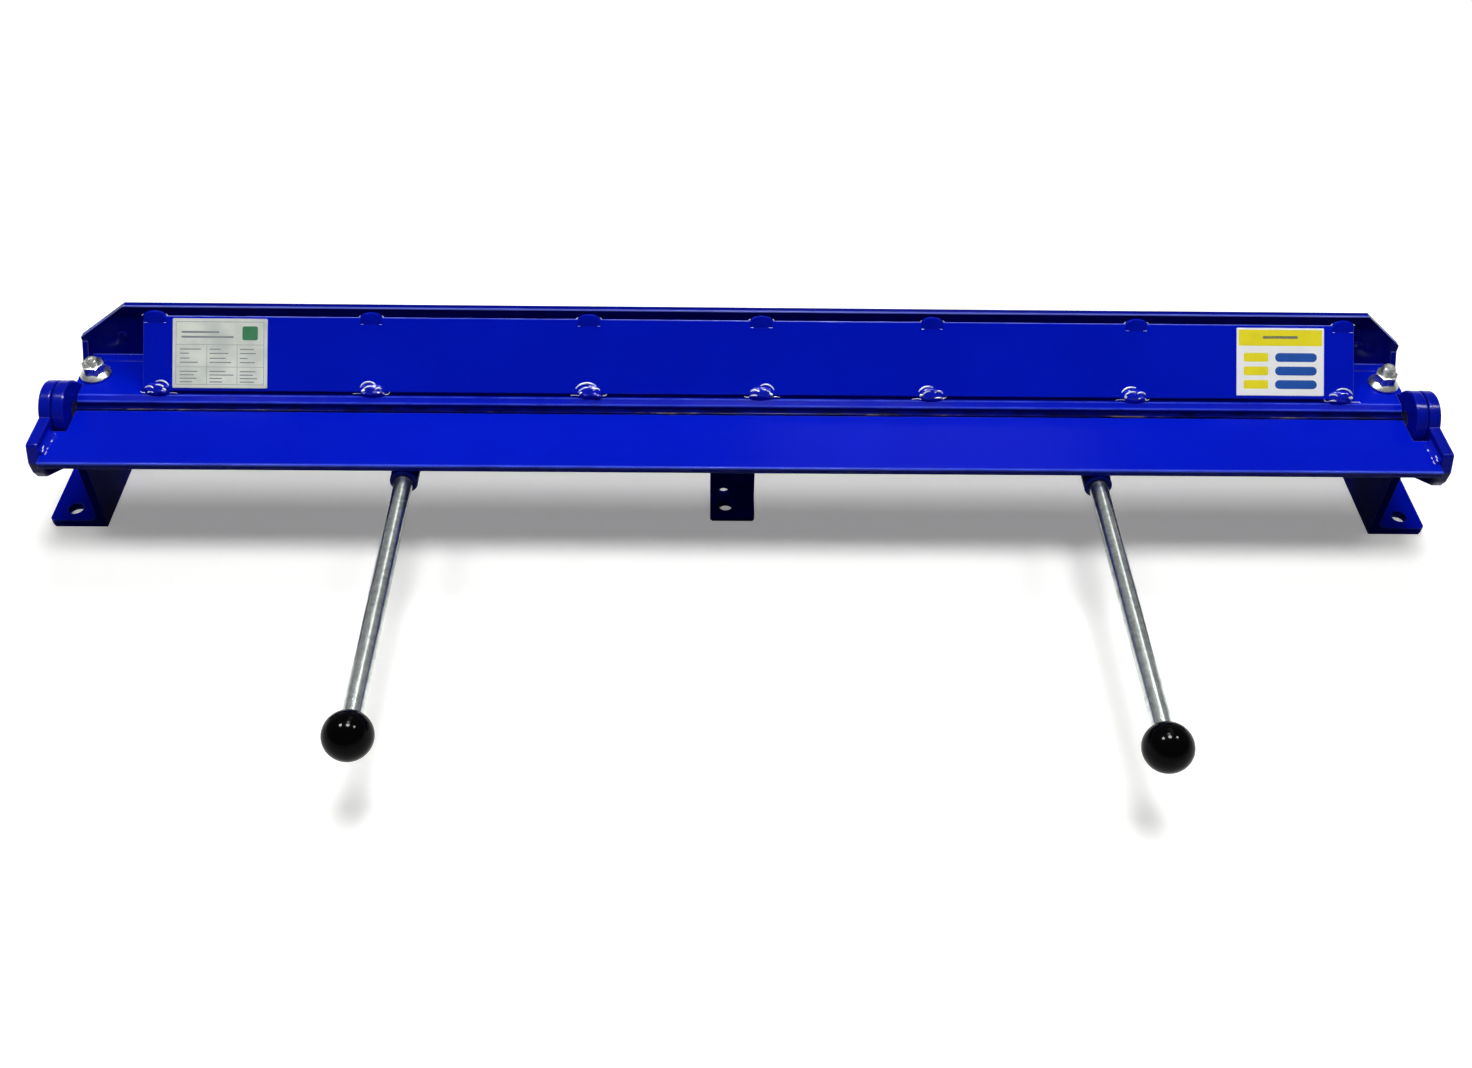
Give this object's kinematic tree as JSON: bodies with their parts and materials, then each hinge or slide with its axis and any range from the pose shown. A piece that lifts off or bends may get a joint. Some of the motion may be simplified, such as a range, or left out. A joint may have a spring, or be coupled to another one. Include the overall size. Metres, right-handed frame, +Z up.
{
  "type": "manual sheet metal bending machine",
  "caption": "Bench-top bending brake: a hinged leaf with two ball-ended handles folds sheet that a bolted upper angle clamps on an angle bed.",
  "frame": {"origin": "on the bench surface, straight under the hinge axis, 7.7 mm right of the middle foot's centre and midway between the end feet", "axes": "+X to the user's right along the bend line, +Y away from the user, +Z up"},
  "size_m": [0.984, 0.3439, 0.1375],
  "materials": {
    "blue_paint": "gloss ultramarine enamel over mill-scale steel",
    "zinc_plate": "bright zinc plate",
    "bare_steel": "oiled turned steel",
    "black_plastic": "polished phenolic",
    "plate_metal": "satin printed foil",
    "label_film": "printed vinyl film"
  },
  "bodies": {
    "bed": {"bed_angle": "blue_paint", "left_foot": "blue_paint", "right_foot": "blue_paint", "middle_foot": "blue_paint", "left_hinge_plate": "blue_paint", "right_hinge_plate": "blue_paint", "left_hinge_pin": "bare_steel", "right_hinge_pin": "bare_steel", "left_pin_washer": "zinc_plate", "right_pin_washer": "zinc_plate", "left_retaining_ring": "bare_steel", "right_retaining_ring": "bare_steel", "left_clamp_bolt": "zinc_plate", "right_clamp_bolt": "zinc_plate", "foot_welds": "blue_paint"},
    "leaf": {"leaf_angle": "blue_paint", "left_arm": "blue_paint", "right_arm": "blue_paint", "arm_welds": "blue_paint", "left_socket": "blue_paint", "right_socket": "blue_paint", "socket_welds": "blue_paint", "left_rod": "zinc_plate", "right_rod": "zinc_plate", "left_knob": "black_plastic", "right_knob": "black_plastic"},
    "clamp": {"clamp_angle": "blue_paint", "stiffener_plate": "blue_paint", "left_gusset": "blue_paint", "right_gusset": "blue_paint", "upper_stitch_welds": "blue_paint", "lower_stitch_welds": "blue_paint", "crease_welds": "blue_paint", "rating_plate": "plate_metal", "label": "label_film"},
    "left_nut": {"left_clamp_nut": "zinc_plate"},
    "right_nut": {"right_clamp_nut": "zinc_plate"}
  },
  "joints": [
    {"name": "leaf_swing", "type": "hinge", "parent": "bed", "child": "leaf", "pos_m": [0, 0, 0.087], "axis": [-1, 0, 0], "range_deg": [0, 120]},
    {"name": "clamp_lift", "type": "slide", "parent": "bed", "child": "clamp", "axis": [0, 0, 1], "range_m": [0, 0.003]},
    {"name": "left_nut_turn", "type": "hinge", "parent": "clamp", "child": "left_nut", "pos_m": [-0.4513, 0.0312, 0.0928], "axis": [0, 0, 1], "range_deg": [0, 720]},
    {"name": "right_nut_turn", "type": "hinge", "parent": "clamp", "child": "right_nut", "pos_m": [0.4513, 0.0312, 0.0928], "axis": [0, 0, 1], "range_deg": [0, 720]}
  ],
  "couplings": [
    {"joint": "left_nut_turn", "follows": "clamp_lift", "rad_per_m": 4188.8},
    {"joint": "right_nut_turn", "follows": "clamp_lift", "rad_per_m": 4188.8}
  ]
}
